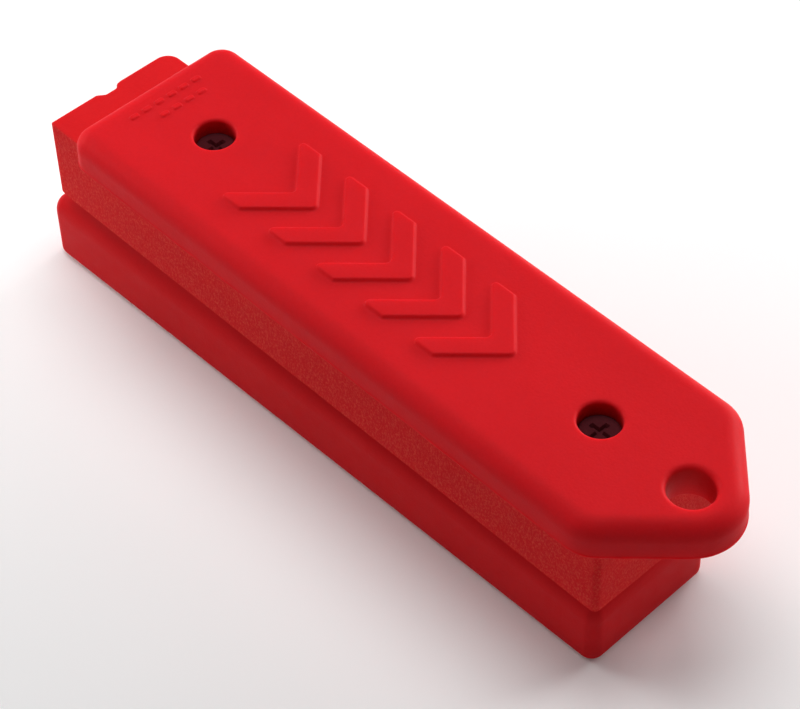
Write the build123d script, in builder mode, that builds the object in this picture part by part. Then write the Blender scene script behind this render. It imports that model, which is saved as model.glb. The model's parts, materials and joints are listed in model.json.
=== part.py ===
"""Magnetic stud finder with its lift-off guard.

Frame: +X runs from the square rear end to the pointed nose, +Z is up, and the guard stands on Z = 0.
The finder (cap, tray, magnets) sits on the guard and is held there by its own magnets.
All sizes are in millimetres.
"""
import os

from build123d import *

# --- overall stack ---------------------------------------------------------------------------
OVERALL_LENGTH = 130.0          # rear of the guard to the nose of the cap
GUARD_HEIGHT = 14.25            # up to the low land that the tray rests over
TRAY_HEIGHT = 14.7
CAP_THICKNESS = 5.8
REST_GAP = 0.15                 # air between the guard's top and the tray's working face

TRAY_Z = GUARD_HEIGHT + REST_GAP
CAP_Z = TRAY_Z + TRAY_HEIGHT
CAP_TOP = CAP_Z + CAP_THICKNESS
NOSE_X = OVERALL_LENGTH / 2

# --- top cap ---------------------------------------------------------------------------------
CAP_LENGTH = 118.1
CAP_WIDTH = 31.0
CAP_REAR = NOSE_X - CAP_LENGTH
NOSE_RADIUS = 7.9
SHOULDER_RADIUS = 6.0
CAP_REAR_RADIUS = 3.5
CAP_EDGE_RADIUS = 2.8           # soft top edge all round
APEX_X = NOSE_X + NOSE_RADIUS * (2**0.5 - 1)        # where the two 45 degree facets would meet
APEX_Y = 0.3                                        # the point of the nose is slightly off centre
LEFT_SHOULDER_X = APEX_X - (CAP_WIDTH / 2 - APEX_Y)
RIGHT_SHOULDER_X = APEX_X - (CAP_WIDTH / 2 + APEX_Y)

SCREW_PITCH = 78.4
SCREW_SETBACK = 16.0            # from the cap's rear edge to the rear screw
REAR_SCREW_X = CAP_REAR + SCREW_SETBACK
SCREW_XS = (REAR_SCREW_X, REAR_SCREW_X + SCREW_PITCH)
HEAD_WELL_RADIUS = 3.175
HEAD_WELL_DEPTH = 4.2
RIM_RADIUS = 0.35               # round the mouths of the wells
HANG_HOLE_RADIUS = 3.4
HANG_RIM_RADIUS = 0.8           # its mouth is worn rounder than the wells'
HANG_HOLE_SETBACK = 7.4         # from the tip of the nose
HANG_HOLE_X = NOSE_X - HANG_HOLE_SETBACK

RELIEF = 0.5                    # height of the raised chevrons
CHEVRON_COUNT = 5
CHEVRON_PITCH = 10.0
CHEVRON_BAND = 4.6
CHEVRON_HALF = 8.0
FIRST_CHEVRON_X = REAR_SCREW_X + CHEVRON_PITCH
DASH_RELIEF = 0.25
DASH_LENGTH = 1.5
DASH_WIDTH = 0.9
DASH_PITCH = 2.4
DASH_ROWS = ((4.7, 0.0, 6), (7.4, DASH_PITCH / 2, 4))     # distance from the rear edge, y, how many

# --- magnet tray -----------------------------------------------------------------------------
TRAY_LENGTH = 114.8
TRAY_WIDTH = 23.6
TRAY_Y = -0.5                   # the tray sits a little off the cap's centre line
HEEL_LENGTH = 8.7               # what shows of the tray behind the cap
TRAY_REAR = CAP_REAR - HEEL_LENGTH
TRAY_MID = TRAY_REAR + TRAY_LENGTH / 2
TRAY_FRONT = TRAY_REAR + TRAY_LENGTH
TRAY_REAR_RADIUS = 2.5          # on the rear +Y corner; the trimmed rear -Y corner is square
TRAY_FRONT_RADIUS = 1.0
TRAY_BOTTOM_RADIUS = 1.4        # under the rear and +Y sides; the -Y and front sides are trimmed crisp
TRAY_TRIM = 4.0                 # what was trimmed off the moulding's -Y and front sides
TRAY_WALL = 2.3
TRAY_FLOOR = 1.6
GATE_PROFILE = ((-3.4, 0.0), (-2.2, 0.9), (0.0, 0.9), (0.55, 0.18), (1.4, 0.0))      # y, depth
GATE_DROP = 3.0

CAVITY_SETBACK = 2.5            # from the cap's rear edge
CAVITY_RADIUS = 1.0
CAVITY_REAR = CAP_REAR + CAVITY_SETBACK
CAVITY_FRONT = TRAY_FRONT - TRAY_WALL
CAVITY_LENGTH = CAVITY_FRONT - CAVITY_REAR
CAVITY_MID = (CAVITY_FRONT + CAVITY_REAR) / 2
CAVITY_WIDTH = TRAY_WIDTH - 2 * TRAY_WALL
FLOOR_Z = TRAY_Z + TRAY_FLOOR
BOSS_RADIUS = 3.6
PILOT_DEPTH = 12.1

# --- what the tray holds ---------------------------------------------------------------------
MAGNET_NAMES = ("rear_magnet", "middle_magnet", "front_magnet")
MAGNET_LENGTH = 20.0
MAGNET_WIDTH = 18.0
MAGNET_HEIGHT = 8.0
MAGNET_PITCH = 22.4
MAGNET_EDGE = 0.5
RIB_THICKNESS = 1.6
PLATE_THICKNESS = 1.6
FIT = 0.1                       # air around a loose inner piece
PLATE_Z = FLOOR_Z + MAGNET_HEIGHT
PAD_Z = PLATE_Z + PLATE_THICKNESS
MAGNET_MID = sum(SCREW_XS) / 2

# --- screws ----------------------------------------------------------------------------------
SHANK_RADIUS = 1.5
PILOT_RADIUS = 1.52
HEAD_RADIUS = 3.05
HEAD_HEIGHT = 1.8
HEAD_EDGE_RADIUS = 0.3
TIP_CHAMFER = 0.7
CAP_SCREW_LENGTH = 12.0
GUARD_SCREW_LENGTH = 8.0
CROSS_WIDTH = 0.8
CROSS_SPAN = 3.4
CROSS_DEPTH = 1.0

# --- guard -----------------------------------------------------------------------------------
GUARD_LENGTH = 116.7
GUARD_WIDTH = 24.0
GUARD_CORNER_RADIUS = 2.1
GUARD_LAND = 1.25               # height of the land along the middle of the guard's top
GUARD_LAND_INSET = 5.0
GUARD_TOP_RADIUS = 4.0          # the top edges fall away under the tray
GUARD_EDGE_RADIUS = 1.3
GUARD_TWIST = 0.9               # the loose guard sits slightly askew under the tray
GUARD_WALL = 2.4
GUARD_SKIN = 1.6
GUARD_INNER_RADIUS = 1.0        # corners of the land and of the hollow
BASE_THICKNESS = 1.8
KEEPER_LENGTH = 94.0
KEEPER_WIDTH = 17.0
KEEPER_THICKNESS = 1.5
KEEPER_RADIUS = 1.5
GUARD_BOSS_RADIUS = 3.0
GUARD_SCREW_X = 51.0
COUNTERSINK_RADIUS = 2.7
BASE_RIB_XS = (-40.0, -13.5, 13.5, 40.0)
BASE_RIB_WIDTH = 15.0
BASE_RIB_THICKNESS = 1.4

GUARD_BODY = GUARD_HEIGHT - GUARD_LAND
KEEPER_Z = GUARD_BODY - GUARD_SKIN - KEEPER_THICKNESS
GUARD_HALF = GUARD_LENGTH / 2 - GUARD_CORNER_RADIUS
GUARD_SIDE = GUARD_WIDTH / 2 - GUARD_CORNER_RADIUS
ASKEW = Vector(1, 0, 0).rotate(Axis.Z, GUARD_TWIST)
GUARD_REACH = GUARD_HALF * ASKEW.X + GUARD_SIDE * ASKEW.Y + GUARD_CORNER_RADIUS
GUARD_MID = GUARD_REACH - NOSE_X


def guard_plane(height):
    """The guard's own level plane at the given height, turned by its small twist."""
    return Plane(origin=(GUARD_MID, 0, height), x_dir=ASKEW, z_dir=(0, 0, 1))


def magnet_x(index):
    """Centre of one magnet, counted from the rear."""
    return MAGNET_MID + (index - 1) * MAGNET_PITCH


# --- finder: top cap -------------------------------------------------------------------------
with BuildPart() as top_cap:
    with BuildSketch(Plane.XY.offset(CAP_Z)):
        with BuildLine():
            Polyline(
                (CAP_REAR, -CAP_WIDTH / 2),
                (RIGHT_SHOULDER_X, -CAP_WIDTH / 2),
                (APEX_X, APEX_Y),
                (LEFT_SHOULDER_X, CAP_WIDTH / 2),
                (CAP_REAR, CAP_WIDTH / 2),
                close=True,
            )
        make_face()
        fillet(vertices().sort_by(Axis.X)[-1], NOSE_RADIUS)
        shoulders = vertices().filter_by_position(Axis.X, RIGHT_SHOULDER_X - 1, LEFT_SHOULDER_X + 1)
        fillet(shoulders, SHOULDER_RADIUS)
        fillet(vertices().group_by(Axis.X)[0], CAP_REAR_RADIUS)
    extrude(amount=CAP_THICKNESS)
    fillet(edges().group_by(Axis.Z)[-1], CAP_EDGE_RADIUS)
    with Locations(*[(x, 0, CAP_TOP) for x in SCREW_XS]):
        CounterBoreHole(PILOT_RADIUS, HEAD_WELL_RADIUS, HEAD_WELL_DEPTH, CAP_THICKNESS)
    with Locations((HANG_HOLE_X, 0, CAP_TOP)):
        Hole(HANG_HOLE_RADIUS, CAP_THICKNESS)
    mouths = edges().filter_by(GeomType.CIRCLE).group_by(Axis.Z)[-1].filter_by(lambda e: e.is_closed)
    mouths = mouths.sort_by(Axis.X)
    fillet(mouths[:2], RIM_RADIUS)
    fillet(mouths[2], HANG_RIM_RADIUS)

    with BuildSketch(Plane.XY.offset(CAP_TOP)):
        for index in range(CHEVRON_COUNT):
            tail = FIRST_CHEVRON_X + index * CHEVRON_PITCH
            with BuildLine():
                Polyline(
                    (tail, CHEVRON_HALF),
                    (tail + CHEVRON_BAND, CHEVRON_HALF),
                    (tail + CHEVRON_BAND + CHEVRON_HALF, 0),
                    (tail + CHEVRON_BAND, -CHEVRON_HALF),
                    (tail, -CHEVRON_HALF),
                    (tail + CHEVRON_HALF, 0),
                    close=True,
                )
            make_face()
    extrude(amount=RELIEF)
    with BuildSketch(Plane.XY.offset(CAP_TOP)):
        for distance, y, count in DASH_ROWS:
            with Locations((CAP_REAR + distance, y)):
                with GridLocations(1, DASH_PITCH, 1, count):
                    Rectangle(DASH_WIDTH, DASH_LENGTH)
    extrude(amount=DASH_RELIEF)

# --- finder: tray ----------------------------------------------------------------------------
with BuildPart() as magnet_tray:
    with BuildSketch(Plane.XY.offset(TRAY_Z)):
        with Locations((TRAY_MID + TRAY_TRIM / 2, TRAY_Y - TRAY_TRIM / 2)):
            Rectangle(TRAY_LENGTH + TRAY_TRIM, TRAY_WIDTH + TRAY_TRIM)
        fillet(vertices().group_by(Axis.Y)[-1].sort_by(Axis.X)[0], TRAY_REAR_RADIUS)
    extrude(amount=TRAY_HEIGHT)
    fillet(edges().group_by(Axis.Z)[0], TRAY_BOTTOM_RADIUS)
    with BuildSketch(Plane.XY.offset(TRAY_Z)):
        with Locations((TRAY_MID, TRAY_Y)):
            Rectangle(TRAY_LENGTH, TRAY_WIDTH)
        fillet(vertices().group_by(Axis.X)[-1], TRAY_FRONT_RADIUS)
    extrude(amount=TRAY_HEIGHT, mode=Mode.INTERSECT)
    with BuildSketch(Plane.XY.offset(CAP_Z)):
        with BuildLine():
            Polyline(*[(TRAY_REAR + depth, y) for y, depth in GATE_PROFILE], close=True)
        make_face()
    extrude(amount=-GATE_DROP, mode=Mode.SUBTRACT)
    with BuildSketch(Plane.XY.offset(FLOOR_Z)):
        with Locations((CAVITY_MID, TRAY_Y)):
            Rectangle(CAVITY_LENGTH, CAVITY_WIDTH)
        fillet(vertices(), CAVITY_RADIUS)
    extrude(amount=CAP_Z - FLOOR_Z, mode=Mode.SUBTRACT)
    with BuildSketch(Plane.XY.offset(FLOOR_Z)):
        with Locations(*[(x, 0) for x in SCREW_XS]):
            Circle(BOSS_RADIUS)
    extrude(amount=CAP_Z - FLOOR_Z)
    with BuildSketch(Plane.XY.offset(FLOOR_Z)):
        for index in range(len(MAGNET_NAMES) + 1):
            with Locations((magnet_x(index - 0.5), TRAY_Y)):
                Rectangle(RIB_THICKNESS, CAVITY_WIDTH)
    extrude(amount=MAGNET_HEIGHT - 2 * FIT)
    with Locations(*[(x, 0, CAP_Z) for x in SCREW_XS]):
        Hole(PILOT_RADIUS, PILOT_DEPTH)

# --- finder: magnets, back plate and packing -------------------------------------------------
magnets = []
for index, name in enumerate(MAGNET_NAMES):
    with BuildPart() as magnet:
        with BuildSketch(Plane.XY.offset(FLOOR_Z)):
            with Locations((magnet_x(index), TRAY_Y)):
                Rectangle(MAGNET_LENGTH, MAGNET_WIDTH)
        extrude(amount=MAGNET_HEIGHT)
        chamfer(edges().group_by(Axis.Z)[-1], MAGNET_EDGE)
    magnet.part.label = name
    magnets.append(magnet)

with BuildPart() as back_plate:
    with BuildSketch(Plane.XY.offset(PLATE_Z)):
        with Locations((CAVITY_MID, TRAY_Y)):
            Rectangle(CAVITY_LENGTH - 4 * FIT, CAVITY_WIDTH - 4 * FIT)
        fillet(vertices(), CAVITY_RADIUS + 2 * FIT)
        with Locations(*[(x, 0) for x in SCREW_XS]):
            Circle(BOSS_RADIUS + 2 * FIT, mode=Mode.SUBTRACT)
    extrude(amount=PLATE_THICKNESS)

with BuildPart() as packing_pad:
    with BuildSketch(Plane.XY.offset(PAD_Z)):
        with Locations((CAVITY_MID, TRAY_Y)):
            Rectangle(CAVITY_LENGTH - 6 * FIT, CAVITY_WIDTH - 6 * FIT)
        fillet(vertices(), CAVITY_RADIUS + 4 * FIT)
        with Locations(*[(x, 0) for x in SCREW_XS]):
            Circle(BOSS_RADIUS + 3 * FIT, mode=Mode.SUBTRACT)
    extrude(amount=CAP_Z - PAD_Z)

# --- finder: cap screws ----------------------------------------------------------------------
HEAD_SEAT_Z = CAP_TOP - HEAD_WELL_DEPTH
HEAD_TOP_Z = HEAD_SEAT_Z + HEAD_HEIGHT
with BuildPart() as cap_screws:
    with Locations(*[(x, 0, HEAD_SEAT_Z) for x in SCREW_XS]):
        Cylinder(HEAD_RADIUS, HEAD_HEIGHT, align=(Align.CENTER, Align.CENTER, Align.MIN))
    fillet(edges().group_by(Axis.Z)[-1], HEAD_EDGE_RADIUS)
    with Locations(*[(x, 0, HEAD_SEAT_Z) for x in SCREW_XS]):
        Cylinder(SHANK_RADIUS, CAP_SCREW_LENGTH, align=(Align.CENTER, Align.CENTER, Align.MAX))
    chamfer(edges().group_by(Axis.Z)[0], TIP_CHAMFER)
    with BuildSketch(Plane.XY.offset(HEAD_TOP_Z)):
        with Locations(*[(x, 0) for x in SCREW_XS]):
            Rectangle(CROSS_SPAN, CROSS_WIDTH)
            Rectangle(CROSS_WIDTH, CROSS_SPAN)
    extrude(amount=-CROSS_DEPTH, mode=Mode.SUBTRACT)

# --- guard: shell ----------------------------------------------------------------------------
with BuildPart() as guard_shell:
    with BuildSketch(guard_plane(0)):
        Rectangle(GUARD_LENGTH, GUARD_WIDTH)
    extrude(amount=GUARD_BODY)
    fillet(edges().group_by(Axis.Z)[-1], GUARD_TOP_RADIUS)
    with BuildSketch(guard_plane(0)):
        Rectangle(GUARD_LENGTH, GUARD_WIDTH)
        fillet(vertices(), GUARD_CORNER_RADIUS)
    extrude(amount=GUARD_BODY, mode=Mode.INTERSECT)
    fillet(edges().group_by(Axis.Z)[0], GUARD_EDGE_RADIUS)
    with BuildSketch(guard_plane(GUARD_BODY)):
        Rectangle(GUARD_LENGTH - 2 * GUARD_LAND_INSET, GUARD_WIDTH - 2 * GUARD_LAND_INSET)
        fillet(vertices(), GUARD_INNER_RADIUS)
    extrude(amount=GUARD_LAND)
    with BuildSketch(guard_plane(0)):
        Rectangle(GUARD_LENGTH - 2 * GUARD_WALL, GUARD_WIDTH - 2 * GUARD_WALL)
        fillet(vertices(), GUARD_INNER_RADIUS)
    extrude(amount=GUARD_BODY - GUARD_SKIN, mode=Mode.SUBTRACT)
    with BuildSketch(guard_plane(BASE_THICKNESS)):
        with Locations((-GUARD_SCREW_X, 0), (GUARD_SCREW_X, 0)):
            Circle(GUARD_BOSS_RADIUS)
            Circle(PILOT_RADIUS, mode=Mode.SUBTRACT)
    extrude(amount=GUARD_BODY - GUARD_SKIN - BASE_THICKNESS)

with BuildPart() as keeper_strip:
    with BuildSketch(guard_plane(KEEPER_Z)):
        Rectangle(KEEPER_LENGTH, KEEPER_WIDTH)
        fillet(vertices(), KEEPER_RADIUS)
    extrude(amount=KEEPER_THICKNESS)

# --- guard: base with the ribs that hold the keeper strip up -----------------------------------
with BuildPart() as guard_base:
    with BuildSketch(guard_plane(0)):
        Rectangle(GUARD_LENGTH - 2 * GUARD_WALL - 2 * FIT, GUARD_WIDTH - 2 * GUARD_WALL - 2 * FIT)
        fillet(vertices(), GUARD_INNER_RADIUS - FIT)
    extrude(amount=BASE_THICKNESS)
    with BuildSketch(guard_plane(BASE_THICKNESS)):
        with Locations(*[(x, 0) for x in BASE_RIB_XS]):
            Rectangle(BASE_RIB_THICKNESS, BASE_RIB_WIDTH)
    extrude(amount=KEEPER_Z - BASE_THICKNESS)
    with Locations(guard_plane(0)):
        with Locations(
            Location((-GUARD_SCREW_X, 0, 0), (180, 0, 0)),
            Location((GUARD_SCREW_X, 0, 0), (180, 0, 0)),
        ):
            CounterSinkHole(PILOT_RADIUS, COUNTERSINK_RADIUS, BASE_THICKNESS)

with BuildPart() as guard_screws:
    with BuildSketch(guard_plane(0)):
        with Locations((-GUARD_SCREW_X, 0), (GUARD_SCREW_X, 0)):
            Circle(COUNTERSINK_RADIUS - FIT)
    extrude(amount=COUNTERSINK_RADIUS - FIT - SHANK_RADIUS, taper=45)
    with BuildSketch(guard_plane(0)):
        with Locations((-GUARD_SCREW_X, 0), (GUARD_SCREW_X, 0)):
            Circle(SHANK_RADIUS)
    extrude(amount=GUARD_SCREW_LENGTH)
    chamfer(edges().group_by(Axis.Z)[-1], TIP_CHAMFER)
    with BuildSketch(guard_plane(0)):
        with Locations((-GUARD_SCREW_X, 0), (GUARD_SCREW_X, 0)):
            Rectangle(CROSS_SPAN, CROSS_WIDTH)
            Rectangle(CROSS_WIDTH, CROSS_SPAN)
    extrude(amount=CROSS_DEPTH / 2, mode=Mode.SUBTRACT)

# --- files -----------------------------------------------------------------------------------
top_cap.part.label = "top_cap"
magnet_tray.part.label = "magnet_tray"
back_plate.part.label = "back_plate"
packing_pad.part.label = "packing_pad"
cap_screws.part.label = "cap_screws"
guard_shell.part.label = "guard_shell"
keeper_strip.part.label = "keeper_strip"
guard_base.part.label = "guard_base"
guard_screws.part.label = "guard_screws"

FINDER = [top_cap, magnet_tray, *magnets, back_plate, packing_pad, cap_screws]
GUARD = [guard_shell, keeper_strip, guard_base, guard_screws]

os.makedirs("parts", exist_ok=True)
for piece in FINDER + GUARD:
    export_step(piece.part, f"parts/{piece.part.label}.step")
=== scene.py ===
"""Looks of a magnetic stud finder: red cap, tray and guard mouldings, screws, magnets and steel strips.

Lengths are in millimetres in the CAD frame (+X is the nose, +Z is up), and MM turns them into Blender's
metres. Lights and camera are placed in metres.
"""
import json
import math

import bmesh
import bpy
from mathutils import Matrix, Vector, noise
from mathutils.geometry import delaunay_2d_cdt


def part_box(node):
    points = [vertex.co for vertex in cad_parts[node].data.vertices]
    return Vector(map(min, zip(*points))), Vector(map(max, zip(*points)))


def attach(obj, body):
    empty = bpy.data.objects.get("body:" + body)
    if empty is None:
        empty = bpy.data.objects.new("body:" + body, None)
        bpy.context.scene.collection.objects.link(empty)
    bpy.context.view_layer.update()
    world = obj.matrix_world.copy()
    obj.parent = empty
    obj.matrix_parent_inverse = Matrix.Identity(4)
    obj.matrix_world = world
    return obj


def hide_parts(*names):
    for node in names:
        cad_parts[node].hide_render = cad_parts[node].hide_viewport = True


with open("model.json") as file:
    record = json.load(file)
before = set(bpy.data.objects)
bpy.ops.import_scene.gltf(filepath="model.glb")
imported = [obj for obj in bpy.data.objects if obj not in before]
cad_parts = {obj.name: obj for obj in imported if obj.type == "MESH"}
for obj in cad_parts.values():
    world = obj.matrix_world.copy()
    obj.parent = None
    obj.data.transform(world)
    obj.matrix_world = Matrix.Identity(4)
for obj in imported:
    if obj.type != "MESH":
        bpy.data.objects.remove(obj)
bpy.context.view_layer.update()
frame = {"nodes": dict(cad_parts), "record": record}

MM = 0.001

# --- sizes that the CAD boxes don't give (millimetres) ---------------------------------------
NOSE_RADIUS = 7.9
SHOULDER_RADIUS = 6.0
CAP_REAR_RADIUS = 3.5
CAP_EDGE_RADIUS = 2.8
NOSE_Y = 0.3                    # the nose's point is slightly off centre
SCREW_XS = (-37.1, 41.3)
WELL_RADIUS = 3.175
WELL_DEPTH = 4.2
WELL_RIM_RADIUS = 0.5
PILOT_RADIUS = 1.52
HANG_HOLE_X = 57.6
HANG_HOLE_RADIUS = 3.4
HANG_FOOT = (0.15, 0.3)         # the hole's lower rim: how much wider, how high
HANG_RIM_RADIUS = 0.8
CAP_THICKNESS = 5.8
FLASH_START = 0.45              # height over the cap's underside where its wall ends
FLASH = ((0.34, 0.02), (0.24, 0.17), (0.10, 0.15))      # parting line: height, how far it stands out
CAP_FOOT_INSET = 0.05
CHEVRON_TAILS = [-27.1 + 10.0 * index for index in range(5)]
CHEVRON_BAND = 4.6
CHEVRON_HALF = 8.0
CHEVRON_RELIEF = 0.5
CHEVRON_FOOT = 0.26             # half the width of the soft shoulder round the mark
CHEVRON_CORNER = 0.6
CHEVRON_TIP = 0.9
DASH_RELIEF = 0.25
DASH_FOOT = 0.14
DASH_CORNER = 0.3
DASH_SIZE = (0.9, 1.5)
DASH_PITCH = 2.4
DASH_ROWS = ((4.7, 0.0, 6), (7.4, 1.2, 4))      # from the rear edge, y of the row's middle, how many

TRAY_CORNERS = (0.4, 1.0, 0.8, 2.5)             # rear -Y, front -Y, front +Y, rear +Y
TRAY_BOTTOM_RADIUS = 1.4                        # under the rear and +Y sides
TRAY_CRISP_RADIUS = 0.2                         # under the trimmed -Y and front sides
TRAY_TOP_RADIUS = 0.25
CORNER_REACH = 3.0                              # the rear's rounding fades out along this much of the -Y side
TRAY_WALL = 2.3
TRAY_FLOOR = 1.6
HEEL_LENGTH = 8.7
CAVITY_INSET = 2.5
CAVITY_RADIUS = 1.0
POCKET_RADIUS = 0.8
POCKET_STEP = 0.2               # the pockets are this much smaller all round than the space above them
TRAY_SIDE_SPACING = 3           # points along the tray's long sides
BOSS_RADIUS = 3.6
PILOT_DEPTH = 12.2
MAGNET_HEIGHT = 8.0
MAGNET_PITCH = 22.4
RIB_THICKNESS = 1.6
RIB_DROP = 0.2                  # the ribs end this far under the magnets' tops
GATE_DROP = 3.0
GATE_PROFILE = ((-3.4, 0.0), (-2.2, 0.9), (0.0, 0.9), (0.55, 0.18), (1.4, 0.0))      # y, depth

GUARD_LENGTH = 116.7
GUARD_WIDTH = 24.0
GUARD_TWIST = 0.9
GUARD_CORNER_RADIUS = 2.1
GUARD_TOP_RADIUS = 4.0
GUARD_LAND = 1.25
GUARD_LAND_INSET = 5.0
GUARD_EDGE_RADIUS = 1.3
GUARD_WALL = 2.4
GUARD_SKIN = 1.6
GUARD_BOSS_RADIUS = 3.0
GUARD_SCREW_X = 51.0
BASE_THICKNESS = 1.8
BASE_GAP = 0.1
BASE_RIB_XS = (-40.0, -13.5, 13.5, 40.0)
BASE_RIB_SIZE = (1.4, 15.0)
COUNTERSINK_RADIUS = 2.7

CAP_HEAD_RADIUS = 3.05
# head profiles: radius, distance from the driven face
CAP_HEAD_CROWN = ((2.5, 0.0), (2.75, 0.01), (2.94, 0.08), (3.03, 0.25), (CAP_HEAD_RADIUS, 0.5))
GUARD_HEAD = ((2.35, 0), (2.58, 0.02), (2.6, 0.1), (1.5, 1.15))
SCREW_NECK_RADIUS = 1.5
THREAD_ROOT = 1.12
THREAD_CREST = 1.48
THREAD_PITCH = 1.06
RECESS_DEPTH = 0.6

SUPPORT = 0.14                  # a ring this far past a rounded edge keeps the flat beside it flat
FLOAT = 0.01                    # bosses stop this short of the flat of the piece that they meet
CIRCLE_STEPS = 72
BOSS_STEPS = 48
SCREW_STEPS = 32
SHARP_ANGLE = 38                # degrees; shading breaks at edges sharper than this


# --- outlines ---------------------------------------------------------------------------------
def outline(corners, spacing=4.0, arc_step=6.0):
    """Points and outward normals round a closed outline; corners are (x, y, radius), anticlockwise."""
    arcs = []
    count = len(corners)
    for index, (x, y, radius) in enumerate(corners):
        here = Vector((x, y))
        before = Vector(corners[index - 1][:2])
        after = Vector(corners[(index + 1) % count][:2])
        inward = (here - before).normalized()
        onward = (after - here).normalized()
        turn = math.atan2(inward.x * onward.y - inward.y * onward.x, inward.dot(onward))
        side = 1 if turn > 0 else -1
        centre = here + (onward - inward).normalized() * radius / math.cos(turn / 2)
        start = math.atan2(-inward.x, inward.y)
        steps = max(2, math.ceil(abs(math.degrees(turn)) / arc_step))
        arc = []
        for step in range(steps + 1):
            angle = start + turn * step / steps
            normal = Vector((math.cos(angle), math.sin(angle)))
            arc.append((centre + normal * radius * side, normal))
        arcs.append(arc)
    points = []
    for index, arc in enumerate(arcs):
        points += arc
        (start, normal), (end, _) = arc[-1], arcs[(index + 1) % count][0]
        steps = max(1, round((end - start).length / spacing))
        points += [(start.lerp(end, step / steps), normal) for step in range(1, steps)]
    return points


def circle(x, y, radius, steps=CIRCLE_STEPS):
    """Points and outward normals round a circle."""
    angles = [math.tau * step / steps for step in range(steps)]
    normals = [Vector((math.cos(angle), math.sin(angle))) for angle in angles]
    return [(Vector((x, y)) + normal * radius, normal) for normal in normals]


def rectangle(x, y, length, width, radius, spacing=4.0):
    """A rounded rectangle, centred on x, y."""
    half, side = length / 2, width / 2
    corners = [(-half, -side), (half, -side), (half, side), (-half, side)]
    return outline([(x + dx, y + dy, radius) for dx, dy in corners], spacing, arc_step=15.0)


def ring(points, inset, z):
    """The outline's points moved inwards by inset, at height z."""
    return [(point.x - normal.x * inset, point.y - normal.y * inset, z) for point, normal in points]


def inside(x, y, loop):
    """True if the point lies inside the loop of vertices, seen from above."""
    found = False
    for here, before in zip(loop, [loop[-1], *loop[:-1]]):
        if (here.co.y > y) != (before.co.y > y):
            slope = (before.co.x - here.co.x) / (before.co.y - here.co.y)
            if x < here.co.x + slope * (y - here.co.y):
                found = not found
    return found


def rounding(radius, steps):
    """(inset, drop) pairs of a quarter round, from the flat's support ring to the wall's."""
    pairs = [(radius + SUPPORT, 0.0)]
    for step in range(steps + 1):
        angle = math.pi / 2 * step / steps
        pairs.append((radius * (1 - math.sin(angle)), radius * (1 - math.cos(angle))))
    return pairs + [(0.0, radius + SUPPORT)]


# --- mesh building ----------------------------------------------------------------------------
class Skin:
    """One closed surface, made of loops of vertices, bands between loops and filled flats."""

    def __init__(self):
        self.bm = bmesh.new()

    def loop(self, points):
        return [self.bm.verts.new(point) for point in points]

    def band(self, first, second):
        """Quads between two loops that have the same number of vertices."""
        for index in range(len(first)):
            corners = (first[index - 1], first[index], second[index], second[index - 1])
            self.bm.faces.new(corners)

    def tube(self, rings):
        """Bands through a list of rings; returns the first and the last loop."""
        loops = [self.loop(points) for points in rings]
        for first, second in zip(loops, loops[1:]):
            self.band(first, second)
        return loops[0], loops[-1]

    def fill(self, outer, holes=(), ridges=()):
        """Triangles over the area inside outer and outside the holes, with the ridges' edges kept."""
        loops = [outer, *holes, *ridges]
        verts = [vert for loop in loops for vert in loop]
        owners = [number for number, loop in enumerate(loops) for _ in loop]
        edges = []
        for loop in loops:
            first = len(edges)
            edges += [(first + index, first + (index + 1) % len(loop)) for index in range(len(loop))]
        flat = [vert.co.to_2d() for vert in verts]
        _, _, faces, sources, _, _ = delaunay_2d_cdt(flat, edges, [], 1, 1e-6)
        for face in faces:
            numbers = [sources[corner][0] for corner in face]
            owner = {owners[number] for number in numbers}
            if len(owner) == 1 and min(owner) <= len(holes):
                middle = sum((verts[number].co for number in numbers), Vector()) / 3
                loop_number = min(owner)
                if inside(middle.x, middle.y, loops[loop_number]) != (loop_number == 0):
                    continue
            self.bm.faces.new([verts[number] for number in numbers])

    def cap_off(self, loop):
        self.fill(loop)

    def piece(self, name, matrix=Matrix.Identity(4)):
        """The finished object, in metres, with soft shading that breaks at the sharp edges."""
        bm = self.bm
        bmesh.ops.remove_doubles(bm, verts=bm.verts, dist=0.0005)
        bmesh.ops.recalc_face_normals(bm, faces=bm.faces)
        for face in bm.faces:
            face.smooth = True
        for edge in bm.edges:
            if edge.calc_face_angle(0.0) > math.radians(SHARP_ANGLE):
                edge.smooth = False
        mesh = bpy.data.meshes.new(name)
        bm.transform(matrix)
        bm.transform(Matrix.Scale(MM, 4))
        bm.to_mesh(mesh)
        bm.free()
        made = bpy.data.objects.new(name, mesh)
        bpy.context.scene.collection.objects.link(made)
        return made


def relief(skin, points, height, foot, base):
    """The rings of a raised mark with a soft shoulder; its top is filled with the rest of the face."""
    slope = ((1.0, 0.0), (0.45, 0.16), (0.0, 0.5), (-0.45, 0.84), (-1.0, 1.0))
    steps = [(foot + SUPPORT, 0.0)] + [(foot * reach, share) for reach, share in slope]
    rings = [ring(points, -offset, base + height * share) for offset, share in steps]
    rings.append(ring(points, foot + SUPPORT, base + height))
    return [skin.loop(points) for points in rings]


def low_high(node):
    low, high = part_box(node)
    return low / MM, high / MM


# --- the cap ----------------------------------------------------------------------------------
def cap_outline(rear, nose, half):
    apex = nose + NOSE_RADIUS * (math.sqrt(2) - 1)
    corners = [
        (rear, -half, CAP_REAR_RADIUS),
        (apex - half - NOSE_Y, -half, SHOULDER_RADIUS),
        (apex, NOSE_Y, NOSE_RADIUS),
        (apex - half + NOSE_Y, half, SHOULDER_RADIUS),
        (rear, half, CAP_REAR_RADIUS),
    ]
    return outline(corners, spacing=1.5, arc_step=5.0)


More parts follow.
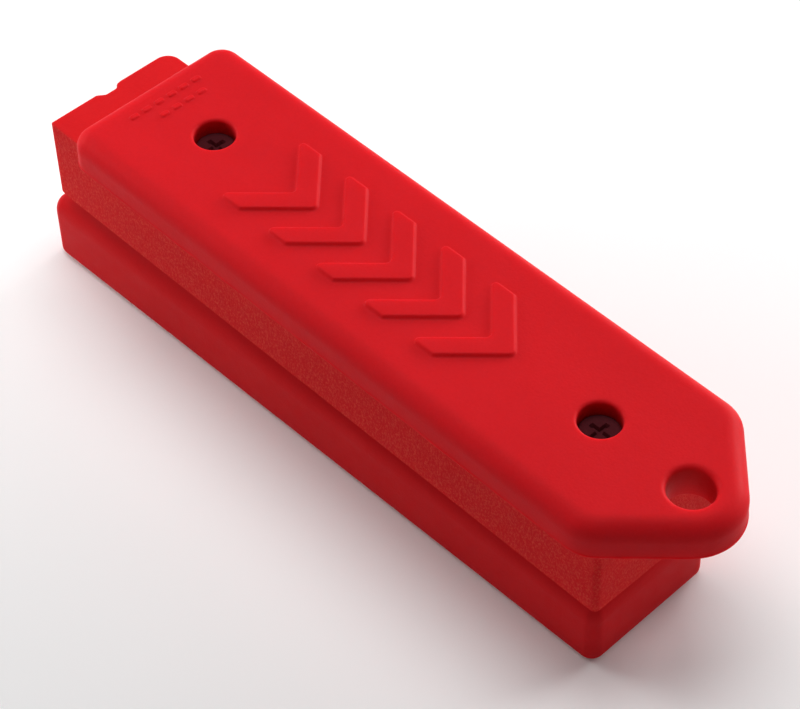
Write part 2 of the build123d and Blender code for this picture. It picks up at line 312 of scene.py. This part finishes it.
def build_cap():
    low, high = low_high("top_cap")
    half = high.y
    top = low.z + CAP_THICKNESS
    points = cap_outline(low.x, high.x, half)
    skin = Skin()

    # soft edge, from the flat outwards and down
    rings = [ring(points, inset, top - drop) for inset, drop in rounding(CAP_EDGE_RADIUS, 10)]

    # wall, and the thin uneven parting line above the lower edge
    rings.append(ring(points, 0.0, low.z + FLASH_START))
    for lift, reach in FLASH:
        flash = []
        for point, normal in points:
            uneven = 0.7 + 0.6 * noise.noise(Vector((point.x * 0.35, point.y * 0.35, 4.0)))
            out = reach * uneven
            flash.append((point.x + normal.x * out, point.y + normal.y * out, low.z + lift))
        rings.append(flash)
    rings.append(ring(points, CAP_FOOT_INSET, low.z))
    rings.append(ring(points, CAP_FOOT_INSET + SUPPORT, low.z))
    top_loop, bottom_loop = skin.tube(rings)

    # screw wells and the hanging hole
    seat = top - WELL_DEPTH
    tops, bottoms = [], []
    for x in SCREW_XS:
        profile = [(WELL_RADIUS + inset, top - drop) for inset, drop in rounding(WELL_RIM_RADIUS, 4)]
        profile += [(WELL_RADIUS, seat + SUPPORT), (WELL_RADIUS, seat)]
        profile += [(PILOT_RADIUS, seat), (PILOT_RADIUS, low.z)]
        first, last = skin.tube([ring(circle(x, 0, radius), 0, z) for radius, z in profile])
        tops.append(first)
        bottoms.append(last)
    profile = [(HANG_HOLE_RADIUS + inset, top - drop) for inset, drop in rounding(HANG_RIM_RADIUS, 7)]
    wider, rise = HANG_FOOT
    profile += [(HANG_HOLE_RADIUS, low.z + rise), (HANG_HOLE_RADIUS + wider, low.z)]
    first, last = skin.tube([ring(circle(HANG_HOLE_X, 0, radius), 0, z) for radius, z in profile])
    tops.append(first)
    bottoms.append(last)

    # raised marks
    ridges = []
    for tail in CHEVRON_TAILS:
        tip = tail + CHEVRON_HALF
        corners = [
            (tail, -CHEVRON_HALF, CHEVRON_CORNER),
            (tail + CHEVRON_BAND, -CHEVRON_HALF, CHEVRON_CORNER),
            (tip + CHEVRON_BAND, 0, CHEVRON_TIP),
            (tail + CHEVRON_BAND, CHEVRON_HALF, CHEVRON_CORNER),
            (tail, CHEVRON_HALF, CHEVRON_CORNER),
            (tip, 0, CHEVRON_TIP),
        ]
        mark = outline(corners, spacing=2.0, arc_step=18.0)
        ridges += relief(skin, mark, CHEVRON_RELIEF, CHEVRON_FOOT, top)
    for distance, middle, count in DASH_ROWS:
        for index in range(count):
            y = middle + (index - (count - 1) / 2) * DASH_PITCH
            mark = rectangle(low.x + distance, y, *DASH_SIZE, DASH_CORNER, spacing=0.5)
            ridges += relief(skin, mark, DASH_RELIEF, DASH_FOOT, top)
    skin.fill(top_loop, tops, ridges)
    skin.fill(bottom_loop, bottoms)
    return skin.piece("cap_moulding")


# --- the tray ---------------------------------------------------------------------------------
def gate_depth(y):
    """Depth of the trimmed gate in the heel's rear edge, at y."""
    for (y0, d0), (y1, d1) in zip(GATE_PROFILE, GATE_PROFILE[1:]):
        if y0 <= y <= y1:
            return d0 + (d1 - d0) * (y - y0) / (y1 - y0)
    return 0.0


def foot_rise(distance):
    """Height of the rounded rear foot above the tray's underside, at a distance from the rear."""
    short = max(0.0, TRAY_BOTTOM_RADIUS - distance)
    return TRAY_BOTTOM_RADIUS - math.sqrt(TRAY_BOTTOM_RADIUS**2 - short**2)


def foot_ring(points, low, angle, support=0.0):
    """One ring of the tray's bottom edge: round under the rear and +Y sides, crisp under the others."""
    made = []
    deep, rise_share = 1 - math.cos(angle), 1 - math.sin(angle)
    push = TRAY_BOTTOM_RADIUS * deep + support
    for point, normal in points:
        moulded = 1.0 - max(0.0, normal.x) if normal.y > -0.01 else 0.0
        radius = TRAY_CRISP_RADIUS + (TRAY_BOTTOM_RADIUS - TRAY_CRISP_RADIUS) * moulded
        inset = radius * deep + support
        x, y = point.x - normal.x * inset, point.y - normal.y * inset
        z = low.z + radius * rise_share
        behind = point.x - low.x
        if normal.y <= -0.01 and behind < CORNER_REACH:
            x = low.x + push + behind * (1 - push / CORNER_REACH)
            z = max(z, low.z + foot_rise(x - low.x))
        made.append((x, y, z))
    return made


def tray_ring(points, inset, z, gate):
    """One ring of the tray's outside; gate is the share of the trimmed gate's depth at this height."""
    made = []
    for point, normal in points:
        depth = gate * gate_depth(point.y) if normal.x < -0.99 else 0.0
        made.append((point.x - normal.x * (inset + depth), point.y - normal.y * inset, z))
    return made


def build_tray():
    low, high = low_high("magnet_tray")
    places = [(low.x, low.y), (high.x, low.y), (high.x, high.y), (low.x, high.y)]
    corners = [(x, y, radius) for (x, y), radius in zip(places, TRAY_CORNERS)]
    points = []
    for point, normal in outline(corners, spacing=0.3, arc_step=8.0):
        nearest = round(point.x / TRAY_SIDE_SPACING) * TRAY_SIDE_SPACING
        along_side = abs(normal.x) < 0.01 and abs(point.x - nearest) > 0.16
        if not along_side:
            points.append((point, normal))
    skin = Skin()

    levels = [(inset, high.z - drop, 1.0) for inset, drop in rounding(TRAY_TOP_RADIUS, 3)]
    levels.append((0.0, high.z - GATE_DROP + SUPPORT, 1.0))
    levels += [(0.0, high.z - GATE_DROP - drop, 0.0) for drop in (0.0, SUPPORT)]
    levels.append((0.0, low.z + TRAY_BOTTOM_RADIUS + SUPPORT, 0.0))
    rings = [tray_ring(points, *level) for level in levels]
    foot_steps = 6
    rings += [foot_ring(points, low, math.pi / 2 * step / foot_steps) for step in range(foot_steps + 1)]
    rings.append(foot_ring(points, low, math.pi / 2, SUPPORT))
    top_loop, bottom_loop = skin.tube(rings)
    skin.fill(bottom_loop)

    # one open space above the ribs, and a pocket between each two ribs
    rear = low.x + HEEL_LENGTH + CAVITY_INSET
    front = high.x - TRAY_WALL
    width = high.y - low.y - 2 * TRAY_WALL
    mid_y = (low.y + high.y) / 2
    floor = low.z + TRAY_FLOOR
    shelf = floor + MAGNET_HEIGHT - RIB_DROP
    cavity = rectangle((rear + front) / 2, mid_y, front - rear, width, CAVITY_RADIUS)
    mouth, shelf_loop = skin.tube([ring(cavity, 0, high.z), ring(cavity, 0, shelf)])
    skin.fill(top_loop, [mouth])
    middle = sum(SCREW_XS) / 2
    ribs = [middle + (index - 1.5) * MAGNET_PITCH for index in range(4)]
    starts = [rear + POCKET_STEP] + [x + RIB_THICKNESS / 2 for x in ribs]
    ends = [x - RIB_THICKNESS / 2 for x in ribs] + [front - POCKET_STEP]
    pockets = []
    for start, end in zip(starts, ends):
        pocket = rectangle((start + end) / 2, mid_y, end - start, width - 2 * POCKET_STEP, POCKET_RADIUS)
        lip, ground = skin.tube([ring(pocket, 0, shelf), ring(pocket, 0, floor)])
        pockets.append(lip)
        bosses = []
        for x in SCREW_XS:
            if start < x < end:
                boss_top = high.z - FLOAT
                shapes = [(BOSS_RADIUS, floor), (BOSS_RADIUS, boss_top), (PILOT_RADIUS, boss_top)]
                shapes.append((PILOT_RADIUS, high.z - PILOT_DEPTH))
                foot, pit = skin.tube([ring(circle(x, 0, radius), 0, z) for radius, z in shapes])
                skin.cap_off(pit)
                bosses.append(foot)
        skin.fill(ground, bosses)
    skin.fill(shelf_loop, pockets)
    return skin.piece("tray_moulding")


# --- the guard --------------------------------------------------------------------------------
def guard_matrix():
    """The guard's own frame: its middle, turned by the small twist."""
    low, high = low_high("guard_shell")
    middle = (low + high) / 2
    return Matrix.Translation((middle.x, middle.y, 0)) @ Matrix.Rotation(math.radians(GUARD_TWIST), 4, "Z")


def guard_ring(points, inset, z):
    """One ring of the guard's outside; past the corner radius the corners close up and keep moving in."""
    over = max(0.0, inset - GUARD_CORNER_RADIUS + SUPPORT)
    reach = inset - over
    made = []
    for point, normal in points:
        at_end = abs(point.x) > GUARD_LENGTH / 2 - GUARD_CORNER_RADIUS - 0.001
        at_side = abs(point.y) > GUARD_WIDTH / 2 - GUARD_CORNER_RADIUS - 0.001
        x = point.x - normal.x * reach - (math.copysign(over, point.x) if at_end else 0.0)
        y = point.y - normal.y * reach - (math.copysign(over, point.y) if at_side else 0.0)
        made.append((x, y, z))
    return made


def build_guard_shell():
    top = low_high("guard_shell")[1].z
    points = outline(
        [
            (-GUARD_LENGTH / 2, -GUARD_WIDTH / 2, GUARD_CORNER_RADIUS),
            (GUARD_LENGTH / 2, -GUARD_WIDTH / 2, GUARD_CORNER_RADIUS),
            (GUARD_LENGTH / 2, GUARD_WIDTH / 2, GUARD_CORNER_RADIUS),
            (-GUARD_LENGTH / 2, GUARD_WIDTH / 2, GUARD_CORNER_RADIUS),
        ],
        spacing=4.0,
    )
    skin = Skin()
    body = top - GUARD_LAND
    rings = [guard_ring(points, inset, body - drop) for inset, drop in rounding(GUARD_TOP_RADIUS, 10)]
    rings += [guard_ring(points, inset, rise) for inset, rise in reversed(rounding(GUARD_EDGE_RADIUS, 7))]
    top_loop, bottom_loop = skin.tube(rings)
    land = rectangle(0, 0, GUARD_LENGTH - 2 * GUARD_LAND_INSET, GUARD_WIDTH - 2 * GUARD_LAND_INSET, 1.0)
    land_edge = ((0, body), (0, top - 0.2), (0.06, top - 0.06), (0.2, top))
    land_foot, land_top = skin.tube([ring(land, inset, z) for inset, z in land_edge])
    skin.fill(top_loop, [land_foot])
    skin.fill(land_top)

    inner = rectangle(0, 0, GUARD_LENGTH - 2 * GUARD_WALL, GUARD_WIDTH - 2 * GUARD_WALL, 1.0)
    ceiling_z = body - GUARD_SKIN
    mouth, ceiling = skin.tube([ring(inner, -0.1, 0), ring(inner, 0, 0.12), ring(inner, 0, ceiling_z)])
    skin.fill(bottom_loop, [mouth])
    feet = []
    for x in (-GUARD_SCREW_X, GUARD_SCREW_X):
        boss_end = BASE_THICKNESS + FLOAT
        shapes = [(GUARD_BOSS_RADIUS, ceiling_z), (GUARD_BOSS_RADIUS, boss_end)]
        shapes += [(PILOT_RADIUS, boss_end), (PILOT_RADIUS, ceiling_z)]
        foot, pit = skin.tube([ring(circle(x, 0, radius, BOSS_STEPS), 0, z) for radius, z in shapes])
        skin.cap_off(pit)
        feet.append(foot)
    skin.fill(ceiling, feet)
    return skin.piece("guard_moulding", guard_matrix())


def build_guard_base():
    rib_top = low_high("keeper_strip")[0].z
    length = GUARD_LENGTH - 2 * GUARD_WALL - 2 * BASE_GAP
    width = GUARD_WIDTH - 2 * GUARD_WALL - 2 * BASE_GAP
    points = rectangle(0, 0, length, width, 0.9)
    skin = Skin()
    edge = ((0.35, 0), (0.2, 0), (0.06, 0.06), (0, 0.2), (0, BASE_THICKNESS))
    under, over = skin.tube([ring(points, inset, z) for inset, z in edge])
    sinks, tops = [], []
    sink = COUNTERSINK_RADIUS - PILOT_RADIUS
    for x in (-GUARD_SCREW_X, GUARD_SCREW_X):
        shapes = [(COUNTERSINK_RADIUS + 0.1, 0), (COUNTERSINK_RADIUS, 0.06), (PILOT_RADIUS, sink)]
        shapes.append((PILOT_RADIUS, BASE_THICKNESS))
        first, last = skin.tube([ring(circle(x, 0, radius, BOSS_STEPS), 0, z) for radius, z in shapes])
        sinks.append(first)
        tops.append(last)
    for x in BASE_RIB_XS:
        rib = rectangle(x, 0, *BASE_RIB_SIZE, 0.3, spacing=2.0)
        foot, head = skin.tube([ring(rib, 0, BASE_THICKNESS), ring(rib, 0, rib_top)])
        skin.cap_off(head)
        tops.append(foot)
    skin.fill(under, sinks)
    skin.fill(over, tops)
    return skin.piece("guard_base_moulding", guard_matrix())


# --- screws -----------------------------------------------------------------------------------
def cross_recess(x, y, span, width):
    """The plus-shaped outline of a cross recess."""
    corners = []
    for quarter in range(4):
        turn = Matrix.Rotation(math.pi / 2 * quarter, 2)
        for place in ((span / 2, -width / 2), (span / 2, width / 2), (width / 2, width / 2)):
            spot = turn @ Vector(place)
            corners.append((x + spot.x, y + spot.y, 0.1))
    return outline(corners, spacing=10.0, arc_step=30.0)


def thread(skin, x, y, start, end):
    """A threaded shank from start down or up to end; returns its first and last loop."""
    steps_per_turn, sides = 8, SCREW_STEPS
    fade_in, fade_out = 0.8, 2.4        # the thread grows from the neck and dies away to the tip
    point = 1.2                         # the shank narrows over this last length
    length = abs(end - start)
    count = round(length / THREAD_PITCH * steps_per_turn)
    rings = []
    for row in range(count + 1):
        run = length * row / count
        z = start + (end - start) * row / count
        taper = min(1.0, (length - run) / fade_out, run / fade_in)
        loop = []
        for side in range(sides):
            phase = (run / THREAD_PITCH + side / sides) % 1.0
            tooth = max(0.0, 1 - abs(phase - 0.5) * 3.2)
            radius = THREAD_ROOT + (THREAD_CREST - THREAD_ROOT) * tooth * taper
            radius *= 0.55 + 0.45 * min(1.0, (length - run) / point)
            angle = math.tau * side / sides
            loop.append((x + radius * math.cos(angle), y + radius * math.sin(angle), z))
        rings.append(loop)
    return skin.tube(rings)


def add_screw(skin, x, y, head, face, seat, end):
    """One screw: head rings from the driven face to the neck, a cross recess and a threaded shank."""
    up = 1 if face > seat else -1
    first, neck = skin.tube([ring(circle(x, y, radius, SCREW_STEPS), 0, z) for radius, z in head])
    crosses = ((3.4, 0.8, 0.0), (3.3, 0.72, 0.1), (2.8, 0.4, RECESS_DEPTH))
    shapes = [ring(cross_recess(x, y, span, width), 0, face - up * deep) for span, width, deep in crosses]
    lip, pit = skin.tube(shapes)
    skin.fill(first, [lip])
    skin.cap_off(pit)
    top, tip = thread(skin, x, y, seat, end)
    skin.band(neck, top)
    skin.cap_off(tip)


def build_cap_screws():
    low, high = low_high("cap_screws")
    seat = low_high("top_cap")[0].z + CAP_THICKNESS - WELL_DEPTH
    skin = Skin()
    head = [(radius, high.z - drop) for radius, drop in CAP_HEAD_CROWN]
    head += [(CAP_HEAD_RADIUS, seat + 0.1), (CAP_HEAD_RADIUS - 0.1, seat), (SCREW_NECK_RADIUS, seat)]
    for x in SCREW_XS:
        add_screw(skin, x, 0, head, high.z, seat, low.z)
    return skin.piece("cap_screws_turned")


def build_guard_screws():
    high = low_high("guard_screws")[1]
    seat = GUARD_HEAD[-1][1]
    skin = Skin()
    for x in (-GUARD_SCREW_X, GUARD_SCREW_X):
        add_screw(skin, x, 0, GUARD_HEAD, 0, seat, high.z)
    return skin.piece("guard_screws_turned", guard_matrix())


# --- materials --------------------------------------------------------------------------------
class Finish:
    """A node material on the Principled shader, with object coordinates in metres."""

    def __init__(self, name):
        self.material = bpy.data.materials.new(name)
        self.material.use_nodes = True
        self.nodes = self.material.node_tree.nodes
        self.links = self.material.node_tree.links
        self.shader = self.nodes["Principled BSDF"]
        self.coords = self.nodes.new("ShaderNodeTexCoord")
        self.last_bump = None

    def stretched(self, scale):
        """Object coordinates, scaled along each axis."""
        mapping = self.nodes.new("ShaderNodeMapping")
        mapping.inputs["Scale"].default_value = scale
        self.links.new(self.coords.outputs["Object"], mapping.inputs["Vector"])
        return mapping.outputs["Vector"]

    def noise(self, size_mm, detail=3.0, stretch=(1, 1, 1), roughness=0.55):
        """Noise whose blobs are about size_mm across; returns its 0 to 1 output."""
        texture = self.nodes.new("ShaderNodeTexNoise")
        texture.inputs["Scale"].default_value = 1.0 / (size_mm * MM)
        texture.inputs["Detail"].default_value = detail
        texture.inputs["Roughness"].default_value = roughness
        self.links.new(self.stretched(stretch), texture.inputs["Vector"])
        return texture.outputs["Fac"]

    def spread(self, value, low, high, start=0.3, end=0.7):
        """Maps start..end of a value to low..high."""
        node = self.nodes.new("ShaderNodeMapRange")
        node.inputs["From Min"].default_value = start
        node.inputs["From Max"].default_value = end
        node.inputs["To Min"].default_value = low
        node.inputs["To Max"].default_value = high
        self.links.new(value, node.inputs["Value"])
        return node.outputs["Result"]

    def math(self, operation, first, second):
        node = self.nodes.new("ShaderNodeMath")
        node.operation = operation
        for socket, value in zip(node.inputs, (first, second)):
            if isinstance(value, (int, float)):
                socket.default_value = value
            else:
                self.links.new(value, socket)
        return node.outputs["Value"]

    def mix(self, share, first, second):
        """A colour between two; each is an RGB tuple or a colour output."""
        node = self.nodes.new("ShaderNodeMix")
        node.data_type = "RGBA"
        self.links.new(share, node.inputs["Factor"])
        for name, value in (("A", first), ("B", second)):
            socket = next(s for s in node.inputs if s.name == name and s.type == "RGBA")
            if isinstance(value, tuple):
                socket.default_value = (*value, 1.0)
            else:
                self.links.new(value, socket)
        return next(s for s in node.outputs if s.type == "RGBA")

    def upright(self):
        """1 on walls, 0 on level faces."""
        split = self.nodes.new("ShaderNodeSeparateXYZ")
        self.links.new(self.coords.outputs["Normal"], split.inputs["Vector"])
        level = self.math("ABSOLUTE", split.outputs["Z"], 0.0)
        return self.spread(level, 1.0, 0.0, 0.35, 0.75)

    def colour(self, output):
        self.links.new(output, self.shader.inputs["Base Color"])

    def roughness(self, output):
        self.links.new(output, self.shader.inputs["Roughness"])

    def bump(self, height, depth_mm, strength=1.0):
        """Adds a bump of about depth_mm; several stack up."""
        node = self.nodes.new("ShaderNodeBump")
        node.inputs["Strength"].default_value = strength
        node.inputs["Distance"].default_value = depth_mm * MM
        self.links.new(height, node.inputs["Height"])
        if self.last_bump:
            self.links.new(self.last_bump, node.inputs["Normal"])
        self.last_bump = node.outputs["Normal"]
        self.links.new(self.last_bump, self.shader.inputs["Normal"])


def plastic(name, deep, bright, rough, glow):
    """Smooth red moulding: slight flow marks in the colour, a satin skin and light that soaks in."""
    finish = Finish(name)
    flow = finish.spread(finish.noise(14.0, 3.0, (0.5, 1.0, 1.0)), 0.0, 0.55)
    mottle = finish.spread(finish.noise(0.45, 3.0, (1, 1, 1), 0.7), 0.0, 0.45)
    finish.colour(finish.mix(finish.math("ADD", flow, mottle), deep, bright))
    finish.roughness(finish.spread(finish.noise(2.2, 4.0), rough - 0.05, rough + 0.06))
    finish.bump(finish.noise(0.35, 3.0), 0.035)
    finish.bump(finish.noise(6.0, 2.0), 0.05)
    inputs = finish.shader.inputs
    inputs["Subsurface Weight"].default_value = glow
    inputs["Subsurface Radius"].default_value = (1.0, 0.06, 0.05)
    inputs["Subsurface Scale"].default_value = 2.8 * MM
    inputs["IOR"].default_value = 1.5
    inputs["Specular IOR Level"].default_value = 0.035
    return finish


def grained_plastic(name, deep, bright, pale, rough, glow):
    """The tray's plastic: its walls carry a fine upright tool grain, and its level faces are smooth."""
    finish = plastic(name, deep, bright, rough, glow)
    walls = finish.upright()
    fibre = finish.noise(0.32, 4.0, (1.0, 1.0, 0.4), 0.65)
    speck = finish.spread(finish.noise(0.26, 3.0, (1.0, 1.0, 0.55), 0.7), 0.0, 1.0, 0.46, 0.68)
    base = finish.shader.inputs["Base Color"].links[0].from_socket
    share = finish.math("MULTIPLY", speck, walls)
    finish.colour(finish.mix(finish.math("MULTIPLY", share, 0.42), base, pale))
    finish.bump(finish.math("MULTIPLY", fibre, walls), 0.16)
    smooth = finish.shader.inputs["Roughness"].links[0].from_socket
    finish.roughness(finish.math("ADD", smooth, finish.math("MULTIPLY", walls, 0.22)))
    return finish


def black_steel_painted_red_bounce(name):
    """Black oxide with rubbed spots, tinted red: the red tint is painted bounce light from the red plastic
    round the screws.
    """
    finish = Finish(name)
    rubbed = finish.spread(finish.noise(0.7, 4.0), 0.0, 1.0, 0.55, 0.75)
    # painted red bounce light: both colours carry a red tint that stands in for light thrown back by the red
    # plastic
    finish.colour(finish.mix(rubbed, (0.070, 0.009, 0.013), (0.095, 0.014, 0.018)))
    finish.roughness(finish.spread(finish.noise(0.35, 3.0), 0.6, 0.8))
    finish.bump(finish.noise(0.15, 2.0), 0.01)
    finish.shader.inputs["Specular IOR Level"].default_value = 0.05
    finish.shader.inputs["Metallic"].default_value = 0.1
    return finish


def ferrite(name):
    """Dark sintered magnet: fine pressed grain with ground, slightly shinier patches."""
    finish = Finish(name)
    grain = finish.spread(finish.noise(0.25, 5.0), 0.0, 1.0)
    finish.colour(finish.mix(grain, (0.028, 0.028, 0.031), (0.075, 0.075, 0.08)))
    finish.roughness(finish.spread(finish.noise(3.0, 4.0), 0.45, 0.7))
    finish.bump(finish.noise(0.18, 4.0), 0.03)
    finish.shader.inputs["Metallic"].default_value = 0.25
    return finish


def zinc_plate(name):
    """Zinc-plated strip: rolled along its length, with faint cloudy spangle."""
    finish = Finish(name)
    cloud = finish.spread(finish.noise(5.0, 3.0), 0.0, 1.0)
    finish.colour(finish.mix(cloud, (0.50, 0.51, 0.53), (0.66, 0.67, 0.69)))
    rolled = finish.noise(0.5, 3.0, (0.03, 1.0, 1.0))
    finish.roughness(finish.spread(rolled, 0.22, 0.42))
    finish.bump(rolled, 0.008)
    finish.shader.inputs["Metallic"].default_value = 1.0
    return finish


def foam(name):
    """Charcoal closed-cell foam, with painted shade that darkens the pits of its cells."""
    finish = Finish(name)
    cells = finish.nodes.new("ShaderNodeTexVoronoi")
    cells.inputs["Scale"].default_value = 1.0 / (0.45 * MM)
    finish.links.new(finish.coords.outputs["Object"], cells.inputs["Vector"])
    depth = finish.spread(cells.outputs["Distance"], 0.0, 1.0, 0.1, 0.6)
    # painted shade: the colour is darker where the bump sinks into the cells
    finish.colour(finish.mix(depth, (0.022, 0.022, 0.024), (0.065, 0.065, 0.07)))
    finish.roughness(finish.spread(finish.noise(1.5), 0.8, 0.95))
    finish.bump(depth, 0.12)
    return finish


def dress(piece, finish):
    """Puts one finish on the whole piece."""
    piece.data.materials.clear()
    piece.data.materials.append(finish.material)


CAP_FINISH = plastic("cap_plastic", (0.60, 0.0105, 0.0155), (0.68, 0.0125, 0.0180), 0.50, 0.5)
TRAY_FINISH = grained_plastic(
    "tray_plastic", (0.58, 0.0105, 0.0140), (0.66, 0.0130, 0.0160), (0.80, 0.11, 0.07), 0.50, 0.25
)
GUARD_FINISH = plastic("guard_plastic", (0.56, 0.0095, 0.0130), (0.63, 0.0110, 0.0150), 0.50, 0.25)
SCREW_FINISH = black_steel_painted_red_bounce("black_screw")

LOOKS = (
    (build_cap, "top_cap", CAP_FINISH, "cap_plastic"),
    (build_tray, "magnet_tray", TRAY_FINISH, "tray_plastic"),
    (build_guard_shell, "guard_shell", GUARD_FINISH, "guard_plastic"),
    (build_guard_base, "guard_base", GUARD_FINISH, "guard_plastic"),
    (build_cap_screws, "cap_screws", SCREW_FINISH, "black_screw"),
    (build_guard_screws, "guard_screws", SCREW_FINISH, "black_screw"),
)
bodies = frame["record"]["behaviour"]["bodies"]
body_of_node = {node: body for body, nodes in bodies.items() for node in nodes}
for build, node, finish, slot in LOOKS:
    piece = build()
    dress(piece, finish)
    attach(piece, body_of_node[node])
    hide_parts(node)

FERRITE = ferrite("magnet_ferrite")
ZINC = zinc_plate("zinc_steel")
INNER = {
    "rear_magnet": FERRITE,
    "middle_magnet": FERRITE,
    "front_magnet": FERRITE,
    "back_plate": ZINC,
    "keeper_strip": ZINC,
    "packing_pad": foam("foam_pad"),
}
for node, finish in INNER.items():
    dress(frame["nodes"][node], finish)


# --- floor, light and camera --------------------------------------------------------------------
def build_floor():
    """A pale floor that turns up into a backdrop far behind the object, on every side."""
    bm = bmesh.new()
    level = -0.0002                 # metres, as all lengths here; just under the guard
    flat, bend = 0.9, 0.5
    bend_steps, sides = 8, 64
    profile = [(0.4, 0.0), (flat, 0.0)]
    for step in range(1, bend_steps + 1):
        angle = math.pi / 2 * step / bend_steps
        profile.append((flat + bend * math.sin(angle), bend * (1 - math.cos(angle))))
    angles = [math.tau * side / sides for side in range(sides)]
    centre = bm.verts.new((0, 0, level))
    before = None
    for radius, height in profile:
        loop = [bm.verts.new((radius * math.cos(a), radius * math.sin(a), height + level)) for a in angles]
        for side in range(sides):
            if before:
                bm.faces.new((before[side - 1], before[side], loop[side], loop[side - 1]))
            else:
                bm.faces.new((centre, loop[side - 1], loop[side]))
        before = loop
    bmesh.ops.recalc_face_normals(bm, faces=bm.faces)
    for face in bm.faces:
        face.smooth = True
    mesh = bpy.data.meshes.new("floor")
    bm.to_mesh(mesh)
    bm.free()
    floor = bpy.data.objects.new("floor", mesh)
    bpy.context.scene.collection.objects.link(floor)
    finish = Finish("floor_paper")
    finish.colour(finish.mix(finish.noise(60.0), (0.92, 0.92, 0.92), (0.95, 0.95, 0.95)))
    finish.shader.inputs["Emission Color"].default_value = (1.0, 1.0, 1.0, 1.0)
    finish.shader.inputs["Emission Strength"].default_value = 0.03
    finish.roughness(finish.spread(finish.noise(2.0), 0.75, 0.85))
    finish.shader.inputs["Specular IOR Level"].default_value = 0.2
    dress(floor, finish)


LIGHT_SPREAD = 130.0            # degrees; the beam fades out towards its edge
LIGHTS = (                      # name, place and size in metres, power in watts
    ("overhead", (-0.10, 0.06, 0.70), (0.50, 0.50), 1.82),
    ("rear", (-0.55, 0.0, 0.30), (0.35, 0.35), 0.35),
    ("far_side", (0.05, 0.60, 0.16), (0.50, 0.16), 2.05),
    ("heel_kicker", (-0.22, -0.10, 0.10), (0.10, 0.06), 0.115),
)


def softbox(name, place, size, power, aim=(0, 0, 0.02)):
    """A soft area light at place (metres), turned towards aim."""
    data = bpy.data.lights.new(name, "AREA")
    data.shape = "RECTANGLE"
    data.size, data.size_y = size
    data.energy = power
    data.spread = math.radians(LIGHT_SPREAD)
    light = bpy.data.objects.new(name, data)
    light.location = place
    light.rotation_mode = "QUATERNION"
    light.rotation_quaternion = (Vector(aim) - Vector(place)).to_track_quat("-Z", "Y")
    bpy.context.scene.collection.objects.link(light)


def build_camera():
    """Above the nose's -Y side, looking down at the cap."""
    eye = Vector((187.43, -169.34, 292.59)) * MM
    azimuth, elevation, roll = math.radians(47.564), math.radians(47.664), math.radians(-1.623)
    reach = math.cos(elevation)
    back = Vector((math.sin(azimuth) * reach, -math.cos(azimuth) * reach, math.sin(elevation)))
    data = bpy.data.cameras.new("camera")
    data.sensor_width = 36.0
    data.lens = 115.11
    data.clip_start = 0.01
    camera = bpy.data.objects.new("camera", data)
    turn = (-back).to_track_quat("-Z", "Y").to_matrix().to_4x4()
    camera.matrix_world = Matrix.Translation(eye) @ turn @ Matrix.Rotation(roll, 4, "Z")
    bpy.context.scene.collection.objects.link(camera)
    bpy.context.scene.camera = camera


def build_world():
    world = bpy.data.worlds.new("studio")
    world.use_nodes = True
    background = world.node_tree.nodes["Background"]
    background.inputs["Color"].default_value = (1.0, 1.0, 1.0, 1.0)
    background.inputs["Strength"].default_value = 0.01
    bpy.context.scene.world = world


build_floor()
build_world()
build_camera()
for light in LIGHTS:
    softbox(*light)
bpy.context.scene.view_settings.view_transform = "Standard"
